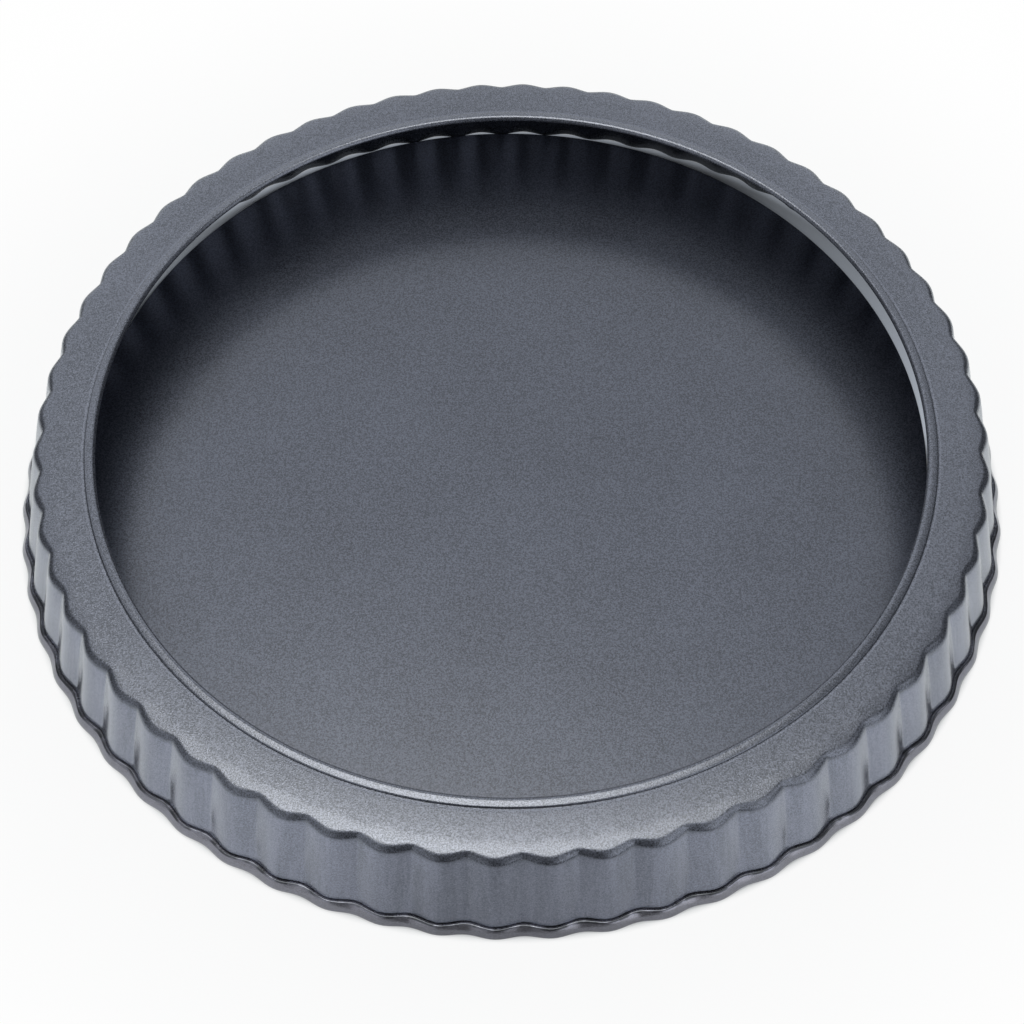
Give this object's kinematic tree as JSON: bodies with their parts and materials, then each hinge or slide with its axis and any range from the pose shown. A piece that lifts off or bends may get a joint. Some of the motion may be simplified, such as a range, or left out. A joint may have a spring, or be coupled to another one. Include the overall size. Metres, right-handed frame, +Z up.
{
  "type": "fluted tart pan",
  "caption": "Round loose-base tart pan: a fluted, flared ring with a rolled rim and an inner ledge, and a flat disc base, shown upside down.",
  "frame": {"origin": "centre of the ring's rim at the height of the table that it stands on", "axes": "+Z up as pictured, so the ledge is on top and the pan's mouth faces down; -Y towards the picture's camera"},
  "size_m": [0.2798, 0.2798, 0.03],
  "materials": {
    "ring_coating": "satin grey non-stick coating on sheet steel",
    "base_coating": "satin grey non-stick coating on sheet steel, finely speckled"
  },
  "bodies": {
    "ring": {"fluted_ring": "ring_coating"},
    "base": {"loose_base": "base_coating"}
  },
  "joints": [
    {"name": "base_slide", "type": "slide", "parent": "ring", "child": "base", "axis": [0.0465, -0.4578, 0.8878], "range_m": [0, 0.0309]}
  ]
}
